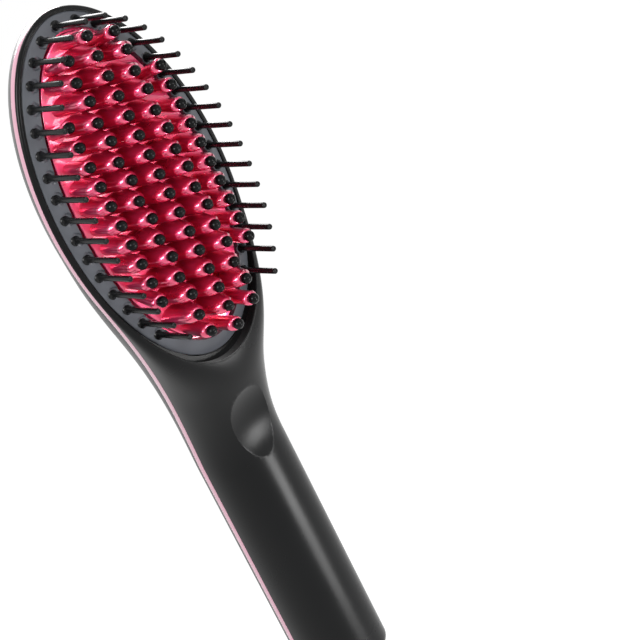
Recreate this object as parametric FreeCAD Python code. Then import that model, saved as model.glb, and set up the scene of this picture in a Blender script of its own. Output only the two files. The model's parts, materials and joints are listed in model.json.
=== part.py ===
import FreeCAD, Part
import math
import os
from FreeCAD import Vector as V

os.makedirs("parts", exist_ok=True)

# A point of the brush is given by its distance from the head's tip along the brush (a),
# its distance across it (w) and its height toward the bristles from the head's seam (n).

# housing
overallLength = 282.0      # tip of the head to the mouth of the cord gland
glandStickOut = 2.0        # gland beyond the handle's end
headWidth = 73.4           # across the seam at the widest station
widestAt = 68.5            # that station's distance from the tip
neckEnd = 176.0            # where the taper from head to handle ends
handleWidth = 34.6
handleBack = 12.2          # handle's depth behind the seam
handleFront = 19.4         # handle's depth in front of the seam
domeDepth = 33.0           # head's depth behind the seam
domeEnd = 181.0            # where the dome has run out into the handle
rimRise = 3.2              # rim of the head above the seam
lipStart = 94.0            # where the rim starts to rise to the lip round the neck
lipEnd = 150.0             # where the front has risen to the handle's depth
tipRound = 10.0            # length over which the rim rises from the tip
seamDrop = 25.0            # the seam's swing to the back between head and handle
seamDropStart = 97.0
seamDropEnd = 183.0
seamTail = 3.4             # further drop of the seam along the grip
endRound = 4.0             # corner radius of the handle's end
backPower = 2.2            # superellipse powers of the cross-sections
rimPower = 8.0
gripPower = 2.3
wall = 2.2
noseSteps = (0.06, 0.8, 2.5, 5.5, 10.0, 16.5, 25.0)   # first sections, from the tip
bodyStations = (36.0, 52.0, 68.5, 84.0, 96.0, 107.0, 118.0, 129.0, 140.0, 151.0, 164.0, 178.0, 200.0)
endAngles = (0, 45, 90)              # sections round the end's corner

# accent strip in the seam
stripHeight = 2.5
stripDepth = 2.2

# opening of the head and the tongue below it
rimBand = 1.8              # visible band of the front shell round the opening
openingReach = 70.0        # from the widest station to the opening's neck end, at the seam
bowlWallInset = 0.2
tongueOut = 2.4            # tongue's outer face, in from the seam
tongueIn = 3.9
tongueStep = 0.3           # the tongue's root lies further in by this
tongueDown = 5.0           # tongue's lower edge below the seam
seatRise = 1.9             # face that carries the pin frame

# pin frame
frameReach = 67.0
frameGap = 0.2             # play between frame and rim
faceWidth = 5.7            # sloping face of the frame
faceOuterRise = 2.9
faceInnerRise = 5.2
frameBevel = 0.9
collarGap = 0.2            # play between the frame's collar and the tongue
collarWall = 1.6
hookReach = 0.9            # snap hooks catching under the tongue
hookThick = 1.2
hookLength = 9.0
hookAngles = (50, 90, 120)           # round the frame, on either side
pinInset = 5.2
pinPitch = 7.8
pinPairs = 16
pinRadius = 1.05
pinRootRadius = 1.9
pinRootRise = 2.4
pinTipRise = 23.8
pinTipRadius = 0.65
pinSunk = 0.9              # foot of a pin below the middle of the frame's face
pinSides = 8

# heating plate and its comb teeth
plateGap = 1.0
plateRise = 4.6
plateEdge = 0.6
flangeOver = 2.2           # plate's flange under the frame's inner edge
flangeThick = 1.2
earRadius = 1.9
toothPitch = 7.55          # along the brush
firstTooth = 10.2
toothRows = 16
columnPitch = 10.8         # across the brush
columnZigzag = 0.6
outerSkip = 3              # rows without outer teeth at each end
toothBase = (4.8, 3.2)     # half sizes across and along, at the plate
edgeToothBase = (3.0, 2.2)
toothWaist = (3.9, 2.9)
outerColumn = 20.95
footMargin = 0.4           # least distance of a foot from the plate's edge
toothSides = 10
toothShoulder = (3.1, 2.4)
shoulderRise = 18.0        # shoulders of the outer teeth
toothCrown = 2.0           # the middle column stands higher by this
ballRadius = 2.15
ballSunk = 1.3             # ball's centre above the shoulder
ballSides = 8
ballAngles = (127, 78, 28)           # rings of a cap, from its top's axis

# heater stack below the plate
heaterAt = 68.0
heaterLength = 56.0
heaterWidth = 17.0
heaterThick = 1.4
railWall = 1.5
micaThick = 0.5
clampThick = 0.8
clampWidth = 11.0
clampScrewPitch = 76.0
bossRadius = 2.6
thermistorRadius = 1.2
thermistorLength = 5.0
fuseRadius = 2.0
fuseLength = 10.0
leadRadius = 0.8
leadSpread = 3.7
frameScrewAfter = (2, 8, 15)         # pins on either side that come before a screw
frameScrewLength = 3.0

# controls on the back of the handle
panelStart = 135.5
panelEnd = 203.0
panelWidth = 22.6
panelThick = 1.2
panelSunk = 0.25
panelGap = 0.3
panelTopArch = 6.5
panelFootArch = 9.0
displayAt = 148.0
displayWidth = 15.4
displayHeight = 12.0
windowThick = 1.2
windowSunk = 1.1
glassOver = 0.5            # glass beyond the window's edge
glassThick = 1.6
lightThick = 2.2
recessStart = 155.6
recessEnd = 181.6
recessWidth = 15.0
recessWall = 0.7
dividerAt = 168.2
dividerWidth = 1.5
buttonGap = 0.6            # round the rocker's two buttons
dividerGap = 0.25
powerAt = 191.0
powerRadius = 5.9
powerRecess = 7.1
buttonTravel = 0.9
buttonFloorGap = 0.3
buttonSunk = 0.35
postRadius = 1.7
postPlay = 0.25
trayFloor = 31.4           # back face of the tray's floor behind the head's seam
trayThick = 1.4
trayLeg = 1.4
symbolDepth = 0.25

# control board
boardStart = 131.0
boardEnd = 236.0
boardWidth = 22.0
boardThick = 1.6
boardDepth = 24.6          # board's back face behind the head's seam
boardScrewInset = 3.2
switchSize = 6.0
switchHeight = 3.2
plungerRadius = 1.5
plungerPlay = 0.05
plungerIn = 1.5            # length of the plunger inside its switch
screwRadius = 1.1
screwFit = 0.02
screwHeadRadius = 2.1
screwHeadThick = 1.3
screwLength = 7.0
boardScrewLength = 4.6
housingScrews = (138.6, 200.6)
standoffRadius = 2.6
leadSocket = 147.0
socketHigh = 6.5
ribStations = (30.0, 68.0, 104.0)
ribThick = 1.4
ribDrop = 13.0             # upper edge of the head's ribs below the seam
contactAt = 263.0          # block that carries the gland's contacts

# finger scoop in the front of the grip
scoopAt = 165.0
scoopLong = 26.0
scoopAcross = 60.0
scoopDepth = 2.6
scoopWall = 1.6

# cord gland, turning in the end of the handle
glandRadius = 6.0
glandPlay = 0.06
glandCollar = 7.8
glandFaceGap = 0.3
glandInner = 16.0          # sleeve inside the handle
cordBore = 3.3
clipThick = 1.2
clipRadius = 8.2
clipDeep = 0.8
ringWidth = 1.6
ringThick = 0.5
ringPitch = 3.4
contactGap = 0.35
leafThick = 0.4
leafWidth = 1.4

handleEnd = overallLength - glandStickOut


def blend(first, last, a, start, end):
    # cosine ease from one value to the other
    t = min(max((a - start) / (end - start), 0.0), 1.0)
    return first + (last - first) * 0.5 * (1.0 - math.cos(math.pi * t))


def seamRise(a):
    tail = max(a - seamDropEnd, 0.0) / (overallLength - seamDropEnd)
    return blend(0.0, -seamDrop, a, seamDropStart, seamDropEnd) - seamTail * tail


# height of the handle's middle at its end: it lies on the row's Z axis
endMiddle = seamRise(overallLength) + (handleFront - handleBack) / 2.0


def at(a, w, n):
    return V(w, endMiddle - n, overallLength - a)


TOWARD_PINS = V(0, -1, 0)
TOWARD_BACK = V(0, 1, 0)
TOWARD_HEAD = V(0, 0, 1)


def endRounding(a, inset):
    # how far the quarter-round at the handle's end pulls the section in
    radius = endRound - min(inset, endRound - 0.6)
    x = a - (handleEnd - inset - radius)
    return radius - math.sqrt(max(radius ** 2 - x ** 2, 0.0)) if x > 0 else 0.0


def noseFactor(a, inset):
    u = (widestAt - a) / (widestAt - inset)
    return math.sqrt(max(1.0 - u * u, 0.0))


def halfWidth(a, inset=0.0):
    if a < widestAt:
        return (headWidth / 2.0 - inset) * noseFactor(a, inset)
    taper = blend(headWidth / 2.0, handleWidth / 2.0, a, widestAt, neckEnd)
    return taper - inset - endRounding(a, inset)


def backDepth(a, inset=0.0):
    if a < widestAt:
        return (domeDepth - inset) * noseFactor(a, inset)
    return blend(domeDepth, handleBack, a, widestAt, domeEnd) - inset - endRounding(a, inset)


def frontDepth(a, inset=0.0):
    rim = rimRise - inset
    if a < tipRound:
        rim *= (1.0 - (1.0 - max(a - inset, 0.0) / tipRound) ** 4) ** 0.25
    rise = blend(rim, handleFront - inset, a, lipStart, lipEnd)
    return rise - endRounding(a, inset)


def backSurface(a, w=0.0, inset=0.0):
    # height of the housing's back surface over a point of the plan
    u = min(abs(w) / halfWidth(a, inset), 1.0)
    return seamRise(a) - backDepth(a, inset) * (1.0 - u ** backPower) ** (1.0 / backPower)


def frontSurface(a, w=0.0):
    power = blend(rimPower, gripPower, a, lipStart, lipEnd)
    u = min(abs(w) / halfWidth(a), 1.0)
    return seamRise(a) + frontDepth(a) * (1.0 - u ** power) ** (1.0 / power)


def quarter(a, inset, side, across):
    # curve from the seam to the crown, close to a superellipse of the stated power
    depth, power = backDepth(a, inset), backPower
    if side > 0:
        depth, power = frontDepth(a, inset), blend(rimPower, gripPower, a, lipStart, lipEnd)
    reach = (8.0 * 2.0 ** (-1.0 / power) - 4.0) / 3.0
    w, n, rise = across * halfWidth(a, inset), seamRise(a), side * depth
    curve = Part.BezierCurve()
    curve.setPoles([at(a, w, n), at(a, w, n + rise * reach), at(a, w * reach, n + rise), at(a, 0.0, n + rise)])
    return curve.toShape()


def sectionWire(a, inset):
    corners = ((1, -1), (1, 1), (-1, 1), (-1, -1))
    quarters = [quarter(a, inset, side, across) for side, across in corners]
    return Part.Wire(Part.__sortEdges__(quarters))


def stations(inset):
    radius = endRound - min(inset, endRound - 0.6)
    last = handleEnd - inset - radius
    nose = [inset + step for step in noseSteps]
    end = [last + radius * math.sin(math.radians(angle)) for angle in endAngles]
    return nose + list(bodyStations) + end


def hull(inset=0.0):
    # skin stretched over the cross-sections
    return Part.makeLoft([sectionWire(a, inset) for a in stations(inset)], True, True)


def export(shape, name):
    shape.exportStep("parts/" + name + ".step")
    print(name, len(shape.Solids), round(shape.Volume, 1))


# ---- building blocks

def egg(inset, reach, n):
    # closed outline of two half ellipses that meet at the widest station
    middle = at(widestAt, 0.0, n)
    side = middle + V(headWidth / 2.0 - inset, 0, 0)
    arcs = []
    for length in (widestAt - inset, -(reach - inset)):
        ellipse = Part.Ellipse(middle + V(0, 0, length), side, middle)
        arcs.append(Part.Arc(ellipse, -math.pi / 2.0, math.pi / 2.0).toShape())
    return Part.Wire(Part.__sortEdges__(arcs))


def eggSlab(inset, reach, low, high):
    return Part.Face(egg(inset, reach, low)).extrude(TOWARD_PINS * (high - low))


def block(aRange, wRange, nRange):
    corner = at(aRange[1], wRange[0], nRange[1])
    return Part.makeBox(wRange[1] - wRange[0], nRange[1] - nRange[0], aRange[1] - aRange[0], corner)


def rod(radius, a, w, low, high):
    # cylinder along the height, its seam line turned off the middle plane
    cylinder = Part.makeCylinder(radius, high - low, at(a, w, low), TOWARD_PINS)
    cylinder.rotate(at(a, w, low), TOWARD_PINS, 40)
    return cylinder


def seamCurve(offset):
    points = [at(a, 0.0, seamRise(a) + offset) for a in stations(0.0)]
    points = [points[0] + V(0, 0, 20)] + points + [points[-1] - V(0, 0, 20)]
    curve = Part.BSplineCurve()
    curve.interpolate(Points=points)
    return curve.toShape()


def aboveSeam(offset):
    # everything on the bristle side of the seam surface moved by the offset
    edge = seamCurve(offset)
    first, last = edge.Vertexes[0].Point, edge.Vertexes[-1].Point
    far = -100.0
    lid = Part.makePolygon([last, V(0, far, last.z), V(0, far, first.z), first])
    face = Part.Face(Part.Wire(Part.__sortEdges__([edge] + lid.Edges)))
    face.translate(V(-60, 0, 0))
    return face.extrude(V(120, 0, 0))


def planPrism(edges, low, high):
    # solid over an outline drawn in the plan at height 0
    face = Part.Face(Part.Wire(Part.__sortEdges__(edges)))
    face.translate(TOWARD_PINS * low)
    return face.extrude(TOWARD_PINS * (high - low))


def halfEllipse(a, halfAcross, length):
    # half ellipse in the plan, bulging toward the grip for a positive length
    middle = at(a, 0, 0)
    side = V(halfAcross, 0, 0)
    tip = V(0, 0, -length)
    if math.isclose(abs(length), halfAcross):
        return Part.Arc(middle - side, middle + tip, middle + side).toShape()
    if abs(length) > halfAcross:
        ellipse = Part.Ellipse(middle + tip, middle + side, middle)
        return Part.Arc(ellipse, -math.pi / 2.0, math.pi / 2.0).toShape()
    ellipse = Part.Ellipse(middle + side, middle + tip, middle)
    return Part.Arc(ellipse, 0.0, math.pi).toShape()


def capsule(start, end, halfAcross, topArch, footArch):
    # plan outline with straight sides and a half ellipse at either end
    top, foot = start + topArch, end - footArch
    left = Part.makeLine(at(top, -halfAcross, 0), at(foot, -halfAcross, 0))
    right = Part.makeLine(at(top, halfAcross, 0), at(foot, halfAcross, 0))
    return [halfEllipse(top, halfAcross, -topArch), right, halfEllipse(foot, halfAcross, footArch), left]


def screw(a, w, headFace, direction, length=screwLength):
    # pan head lying on the face at the given height, shank pointing in the direction
    toward = TOWARD_PINS * direction
    seat = at(a, w, headFace)
    head = Part.makeCylinder(screwHeadRadius, screwHeadThick, seat, toward.negative())
    shank = Part.makeCylinder(screwRadius, length, seat, toward)
    slot = Part.makeBox(screwHeadRadius * 2.4, 0.7, 0.6, V(0, 0, 0))
    slot.translate(V(-screwHeadRadius * 1.2, -0.35, -0.3))
    slot.translate(seat - toward * screwHeadThick)
    return head.fuse(shank).cut(slot).removeSplitter()


def wire(points, radius):
    # round lead of straight runs
    runs = []
    for start, end in zip(points, points[1:]):
        runs.append(Part.makeCylinder(radius, start.distanceToPoint(end), start, end - start))
    return runs[0].fuse(runs[1:])


# ---- heights and insets that several pieces share

frameInset = rimBand + frameGap
frameInner = frameInset + faceWidth
plateInset = frameInner + plateGap
flangeInset = plateInset - flangeOver
plateBottom = seatRise - flangeThick
collarOuter = tongueIn + collarGap
collarInner = collarOuter + collarWall
heaterBottom = plateBottom - heaterThick
micaBottom = heaterBottom - micaThick
clampBottom = micaBottom - clampThick
clampReach = clampScrewPitch / 2 + bossRadius + 1
screwInset = frameInner - screwRadius - 0.5
capFloor = -trayFloor - buttonTravel - buttonFloorGap
switchTop = -boardDepth - switchHeight
postEnd = switchTop - buttonTravel - 0.1
panelFloor = panelSunk + panelThick
boardFront = -boardDepth + boardThick


# ---- head

def faceRise(inset):
    # height of the frame's sloping face
    start = frameInset + frameBevel
    slope = (faceInnerRise - faceOuterRise) / (frameInner - start)
    return faceOuterRise + (inset - start) * slope


def eggPoint(inset, reach, t):
    # point of an egg outline at the angle t from the tip, as a station and a distance across
    length = (widestAt if math.cos(t) > 0 else reach) - inset
    return widestAt - length * math.cos(t), (headWidth / 2.0 - inset) * math.sin(t)


def pinPlaces():
    # equal steps along the egg outline, from the tip down both sides
    places = [eggPoint(pinInset, frameReach, 0.0)]
    t, walked = 0.0, 0.0
    step = math.radians(0.1)
    last = places[0]
    while len(places) < 1 + 2 * pinPairs:
        t += step
        point = eggPoint(pinInset, frameReach, t)
        walked += math.dist(point, last)
        last = point
        if walked >= pinPitch:
            walked -= pinPitch
            places += [point, (point[0], -point[1])]
    return places


def turnedStack(a, w, rings, sides):
    # stands on the plan; each ring is its height, half size across and half size along
    wires = [ovalWire(a, w, n, (across, along), sides) for n, across, along in rings]
    return Part.makeLoft(wires, True, True)


def pin(a, w):
    base = faceRise(pinInset) - pinSunk
    rings = [(base, pinRootRadius), (faceRise(pinInset) + 0.2, pinRootRadius),
             (base + pinRootRise, pinRadius), (pinTipRise - 0.5, pinRadius), (pinTipRise, pinTipRadius)]
    return turnedStack(a, w, [(n, r, r) for n, r in rings], pinSides)


def pinFrame():
    low = seatRise
    rings = [egg(frameInset, frameReach, low),
             egg(frameInset, frameReach, faceOuterRise - 0.5 * frameBevel),
             egg(frameInset + frameBevel, frameReach, faceOuterRise),
             egg(frameInner + 0.3, frameReach, faceRise(frameInner + 0.3))]
    frame = Part.makeLoft(rings, True, True)
    frame = frame.cut(eggSlab(frameInner, frameReach, low - 1, faceInnerRise + 2))
    low = -tongueDown - hookThick
    collar = eggSlab(collarOuter, frameReach, low, seatRise)
    hooks = eggSlab(collarOuter - hookReach, frameReach, low, -tongueDown)
    posts = []
    for angle in hookAngles:
        a, w = eggPoint(collarOuter, frameReach, math.radians(angle))
        for side in (-1, 1):
            posts.append(block((a - hookLength / 2, a + hookLength / 2), sorted((side * (w - 8), side * (w + 4))),
                               (low, seatRise)))
    gate = Part.makeCompound(posts)
    collar = collar.fuse(hooks).common(gate)
    collar = collar.cut(eggSlab(collarInner, frameReach, low - 1, seatRise + 1))
    pilots = [rod(screwRadius + screwFit, a, w, seatRise - 1, seatRise + 1.9) for a, w in frameScrewPlaces()]
    pins = Part.makeCompound([pin(a, w) for a, w in pinPlaces()])
    export(pins, "edge_pins")
    export(frame.fuse(collar).cut([pins] + pilots), "pin_frame")


def frameScrewPlaces():
    # midway between two pins, moved in to the plate's flange
    places = []
    pins = pinPlaces()
    for count in frameScrewAfter:
        before, after = pins[2 * count - 1], pins[2 * count + 1]
        turns = [math.atan2(w / (headWidth / 2.0 - pinInset),
                            (widestAt - a) / ((widestAt if a < widestAt else frameReach) - pinInset))
                 for a, w in (before, after)]
        a, w = eggPoint(screwInset, frameReach, sum(turns) / 2.0)
        places += [(a, w), (a, -w)]
    return places


def toothPlaces():
    # staggered columns: middle, two between, two outer ones
    places = []
    for row in range(toothRows):
        a = firstTooth + row * toothPitch
        places.append((a, 0.0))
        if outerSkip <= row < toothRows - outerSkip:
            places += [(a, -outerColumn), (a, outerColumn)]
        if row < toothRows - 1:
            w = columnPitch + (columnZigzag if row % 2 else -columnZigzag)
            places += [(a + toothPitch / 2, -w), (a + toothPitch / 2, w)]
    return places


def outside(a, w, size):
    # over 1 where a foot of this size would leave the plate
    edge = plateInset + plateEdge + footMargin
    along = (widestAt if a < widestAt else frameReach) - edge - size[1]
    return math.hypot((a - widestAt) / along, w / (headWidth / 2.0 - edge - size[0]))


def toothFoot(a, w):
    # teeth at the plate's edge have a smaller foot and lean outward
    if outside(a, w, toothBase) <= 1.0:
        return a, w, toothBase
    scale = 1.0 / max(outside(a, w, edgeToothBase), 1.0)
    return widestAt + (a - widestAt) * scale, w * scale, edgeToothBase


def shoulder(w):
    return shoulderRise - ballSunk + toothCrown * (1.0 - (w / (2 * columnPitch)) ** 2)


def ovalWire(a, w, n, size, sides):
    # oval of short straight sides
    points = []
    for i in range(sides):
        t = 2.0 * math.pi * (i + 0.5) / sides
        points.append(at(a + size[1] * math.cos(t), w + size[0] * math.sin(t), n))
    return Part.makePolygon(points + [points[0]])


def tooth(a, w):
    footA, footW, foot = toothFoot(a, w)
    low, high = plateRise, shoulder(w)
    waist = toothWaist if foot == toothBase else toothShoulder
    rings = []
    for t, size in ((0.0, foot), (0.5, waist), (1.0, toothShoulder)):
        middle = (footA + (a - footA) * t, footW + (w - footW) * t)
        rings.append(ovalWire(middle[0], middle[1], low + (high - low) * t, size, toothSides))
    return Part.makeLoft(rings, True, True)


def combTeeth():
    # neighbours whose feet run together are one solid
    teeth = [tooth(a, w) for a, w in toothPlaces()]
    return Part.makeCompound(teeth[0].fuse(teeth[1:]).Solids)


def heatingPlate():
    rings = [egg(plateInset, frameReach, plateBottom),
             egg(plateInset, frameReach, plateRise - plateEdge),
             egg(plateInset + plateEdge, frameReach, plateRise)]
    plate = Part.makeLoft(rings, True, True)
    plate = plate.fuse(eggSlab(flangeInset, frameReach, plateBottom, seatRise))
    rails = []
    for side in (-1, 1):
        w = side * (heaterWidth / 2 + railWall / 2 + 0.2)
        rails.append(block((heaterAt - heaterLength / 2, heaterAt + heaterLength / 2),
                           (w - railWall / 2, w + railWall / 2), (heaterBottom, plateBottom + 0.1)))
    bosses, pilots = [], []
    for side in (-1, 1):
        a = heaterAt + side * clampScrewPitch / 2
        bosses.append(rod(bossRadius, a, 0, micaBottom, plateBottom + 0.1))
        pilots.append(rod(screwRadius + screwFit, a, 0, micaBottom - 1, plateRise - 1.5))
    pilots += [rod(screwRadius + screwFit, a, w, plateBottom - 1, seatRise + 1) for a, w in frameScrewPlaces()]
    ears = [rod(earRadius, a, w, plateBottom, seatRise) for a, w in frameScrewPlaces()]
    return plate.fuse(rails + bosses + ears).cut(pilots)


def toothCaps():
    caps = []
    for a, w in toothPlaces():
        rings = []
        for angle in ballAngles:
            radius = ballRadius * math.sin(math.radians(angle))
            n = shoulder(w) + ballSunk + ballRadius * math.cos(math.radians(angle))
            rings.append((max(n, shoulder(w)), radius, radius))
        caps.append(turnedStack(a, w, rings, ballSides))
    return Part.makeCompound(caps)


def heaterParts():
    half = heaterLength / 2
    span = (heaterAt - half, heaterAt + half)
    export(block(span, (-heaterWidth / 2, heaterWidth / 2), (heaterBottom, plateBottom)), "ceramic_heater")
    export(block(span, (-heaterWidth / 2, heaterWidth / 2), (micaBottom, heaterBottom)), "mica_sheet")
    clamp = block((heaterAt - clampReach, heaterAt + clampReach), (-clampWidth / 2, clampWidth / 2),
                  (clampBottom, micaBottom))
    clamp = clamp.makeFillet(3.0, [e for e in clamp.Edges if abs(e.tangentAt(e.FirstParameter).y) > 0.9])
    screws = []
    for side in (-1, 1):
        a = heaterAt + side * clampScrewPitch / 2
        clamp = clamp.cut(rod(screwRadius + 0.2, a, 0, clampBottom - 1, micaBottom + 1))
        screws.append(screw(a, 0, clampBottom, 1, 4.0))
    for a in (heaterAt - 12, heaterAt + 12):
        rib = block((a - 7, a + 7), (-1.2, 1.2), (clampBottom - 0.8, clampBottom))
        clamp = clamp.fuse(rib)
    export(clamp, "heater_clamp")
    export(Part.makeCompound(screws), "clamp_screws")
    n = clampBottom - thermistorRadius
    bead = Part.makeCylinder(thermistorRadius, thermistorLength, at(heaterAt - 2, -3.6, n), TOWARD_HEAD)
    export(bead, "thermistor")
    n = clampBottom - fuseRadius
    fuse = Part.makeCylinder(fuseRadius, fuseLength, at(heaterAt + 12, 3.4, n), TOWARD_HEAD)
    export(fuse, "thermal_fuse")
    flange = [screw(a, w, plateBottom, 1, frameScrewLength) for a, w in frameScrewPlaces()]
    export(Part.makeCompound(flange), "frame_screws")


# ---- housing

def housing():
    skin = hull()
    cavity = hull(wall)
    low, high = aboveSeam(-stripHeight / 2), aboveSeam(stripHeight / 2)
    gland = Part.makeCylinder(glandRadius + glandPlay, 60, at(overallLength + 20, 0, endMiddle), TOWARD_HEAD)
    strip = skin.common(low).cut(high)
    strip = strip.cut(hull(stripDepth)).cut(gland)
    strip = strip.cut(eggSlab((stripDepth + tongueOut) / 2, openingReach, 0.5, stripHeight))
    export(strip, "seam_trim")
    backCover(skin.cut(low).cut(cavity), gland)
    frontShell(skin.common(high), cavity, gland)


def outlinePanel(grow):
    return capsule(panelStart - grow, panelEnd + grow, panelWidth / 2 + grow, panelTopArch + grow,
                   panelFootArch + grow)


def recessOutline(inset):
    half = recessWidth / 2 - inset
    return capsule(recessStart + inset, recessEnd - inset, half, half, half)


def recessPrism(inset, low=-50.0, high=0.0):
    return planPrism(recessOutline(inset), low, high)


def powerPrism(radius, low=-50.0, high=0.0):
    return rod(radius, powerAt, 0, low, high)


def backSlope(a):
    # tilt of the back surface at a station
    return math.degrees(math.atan2(backSurface(a - 1) - backSurface(a + 1), 2.0))


def displayBlock(width, height, outer, thick):
    # block parallel to the back surface over the display, its outer face at a depth below it
    crown = at(displayAt, 0, backSurface(displayAt))
    corner = crown + V(-width / 2, -outer - thick, -height / 2)
    piece = Part.makeBox(width, thick, height, corner)
    piece.rotate(crown, V(1, 0, 0), backSlope(displayAt))
    return piece


def backCover(cover, gland):
    pocket = planPrism(outlinePanel(panelGap), -60, -20).cut(hull(panelFloor))
    glass = glassOver + 0.15
    openings = [pocket, gland,
                displayBlock(displayWidth + 2 * glass, displayHeight + 2 * glass, 0.0, 12.0),
                recessPrism(-0.1, -60, -20), powerPrism(powerRecess + 0.1, -60, -20)]
    inner = hull(wall - 0.3)
    posts = [rod(standoffRadius, a, w, -60, -boardDepth) for a, w in boardScrews()]
    posts += [rod(standoffRadius + 0.4, a, 0, -60, -boardDepth - 1.2) for a in housingScrews]
    ribs = []
    for a in ribStations:
        ribs.append(block((a - ribThick / 2, a + ribThick / 2), (-headWidth, headWidth), (-60, -ribDrop)))
    ribs.append(block((ribStations[0], ribStations[-1]), (-ribThick / 2, ribThick / 2), (-60, -ribDrop)))
    inside = Part.makeCompound(posts + ribs).common(inner)
    cover = cover.fuse(inside.Solids).cut(openings)
    holes = [rod(screwRadius + screwFit, a, w, -boardDepth - boardScrewLength, 0) for a, w in boardScrews()]
    for a in housingScrews:
        holes.append(rod(screwRadius + 0.2, a, 0, -60, 0))
        holes.append(rod(screwHeadRadius + 0.3, a, 0, -60, housingSeat(a)))
    export(cover.cut(holes), "back_cover")


def housingSeat(a):
    # face on which the head of a housing screw lies, below the panel
    return backSurface(a) + panelFloor + screwHeadThick + 0.5


def boardScrews():
    places = []
    for a in (boardStart + boardScrewInset, boardEnd - boardScrewInset):
        for side in (-1, 1):
            places.append((a, side * (boardWidth / 2 - boardScrewInset)))
    return places


def frontShell(shell, cavity, gland):
    # the wall of the bowl stays where the opening runs out into the neck
    inside = cavity.cut(eggSlab(bowlWallInset, openingReach, -tongueDown, 40))
    shell = shell.cut([eggSlab(rimBand, openingReach, seatRise, 50), inside])
    tongue = eggSlab(tongueOut, openingReach, -tongueDown, 0.0).common(hull(tongueOut))
    tongue = tongue.fuse(eggSlab(tongueOut + tongueStep, openingReach, -1.0, seatRise - 0.4))
    barrel = scoopBarrel(scoopDepth, scoopLong)
    lining = hull(0.3).common(scoopBarrel(scoopDepth + scoopWall, scoopLong + 3 * scoopWall))
    posts = [rod(standoffRadius, a, 0, -boardDepth - 1.2, 20) for a in housingScrews]
    posts = Part.makeCompound(posts).common(hull(wall - 0.3))
    shell = shell.fuse([tongue, lining] + posts.Solids)
    pilots = [rod(screwRadius + screwFit, a, 0, -50, -boardDepth + 6) for a in housingScrews]
    through = eggSlab(tongueIn, openingReach, -35, 51)
    export(shell.cut([through, barrel, gland] + pilots), "front_shell")


def scoopBarrel(depth, length):
    # barrel lying across the grip, sunk into its front by the depth
    radius = (length ** 2 / 4 + depth ** 2) / (2 * depth)
    centre = at(scoopAt, 0, frontSurface(scoopAt) - depth + radius)
    half = 15.0
    rim = V(0, radius - half ** 2 / (2 * scoopAcross), 0)
    side = V(half, 0, 0)
    arc = Part.Arc(centre - side + rim, centre + V(0, radius, 0), centre + side + rim).toShape()
    frame = Part.makePolygon([centre + side + rim, centre + side, centre - side, centre - side + rim])
    profile = Part.Face(Part.Wire(Part.__sortEdges__([arc] + frame.Edges)))
    return profile.revolve(centre, V(1, 0, 0), 360)


# ---- controls

def symbolPlus(a):
    arm, bar = 2.2, 0.55
    return [block((a - arm, a + arm), (-bar / 2, bar / 2), (-60, 0)),
            block((a - bar / 2, a + bar / 2), (-arm, arm), (-60, 0))]


def symbolMinus(a):
    arm, bar = 2.0, 0.55
    return [block((a - bar / 2, a + bar / 2), (-arm, arm), (-60, 0))]


def symbolPower(a):
    outer, bar = 2.2, 0.5
    ring = rod(outer, a, 0, -60, 0).cut(rod(outer - bar, a, 0, -61, 1))
    ring = ring.cut(block((a - 3, a), (-0.9, 0.9), (-61, 1)))
    return [ring, block((a - outer - 0.4, a - 0.3), (-bar / 2, bar / 2), (-60, 0))]


def cap(prism, postAt, symbol, skin, deep):
    # button cap whose top follows the housing's back, with its sign engraved
    body = prism.common(skin)
    body = body.fuse(rod(postRadius, postAt, 0, capFloor - 0.2, postEnd))
    marks = [mark.cut(deep) for mark in symbol]
    return body.cut(marks)


def buttonPlaces():
    # middles of the plus and minus halves of the rocker
    inset = recessWall + buttonGap
    sides = dividerWidth / 2 + dividerGap
    return (recessStart + inset + dividerAt - sides) / 2, (recessEnd - inset + dividerAt + sides) / 2


def controls():
    flush = hull(panelSunk)
    lower = hull(panelFloor)
    prism = planPrism(outlinePanel(0.0), -60, -20)
    panel = prism.common(flush).cut(lower)
    pocket = displayBlock(displayWidth + 2 * glassOver + 0.2, displayHeight + 2 * glassOver + 0.2,
                          windowSunk + windowThick - 0.1, 12.0)
    panel = panel.cut([recessPrism(0.0, -60, -20), powerPrism(powerRecess, -60, -20), pocket,
                       displayBlock(displayWidth + 0.1, displayHeight + 0.1, -4.0, 12.0)])
    export(panel, "control_panel")
    tray(hull(panelSunk + 0.2))
    skin = hull(buttonSunk)
    deep = hull(buttonSunk + symbolDepth)
    inset = recessWall + buttonGap
    sides = dividerWidth / 2 + dividerGap
    rocker = recessPrism(inset, -60, capFloor)
    upper = rocker.common(block((0, dividerAt - sides), (-20, 20), (-61, 0)))
    lowerHalf = rocker.common(block((dividerAt + sides, 400), (-20, 20), (-61, 0)))
    round_ = powerPrism(powerRadius, -60, capFloor)
    plusAt, minusAt = buttonPlaces()
    places = (("plus", upper, plusAt, symbolPlus), ("minus", lowerHalf, minusAt, symbolMinus),
              ("power", round_, powerAt, symbolPower))
    switches = []
    for name, prism, a, symbol in places:
        export(cap(prism, a, symbol(a), skin, deep), name + "_button")
        plunger = rod(plungerRadius, a, 0, postEnd, switchTop + plungerIn)
        export(plunger, name + "_plunger")
        bore = rod(plungerRadius + plungerPlay, a, 0, switchTop - 1, -boardDepth - 0.4)
        half = switchSize / 2
        switches.append(block((a - half, a + half), (-half, half), (switchTop, -boardDepth)).cut(bore))
    export(Part.makeCompound(switches), "tact_switches")
    bar = block((dividerAt - dividerWidth / 2, dividerAt + dividerWidth / 2),
                (-recessWidth / 2 + recessWall, recessWidth / 2 - recessWall), (-60, -trayFloor))
    export(bar.common(hull(panelSunk + 0.1)), "button_divider")
    display()


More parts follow.
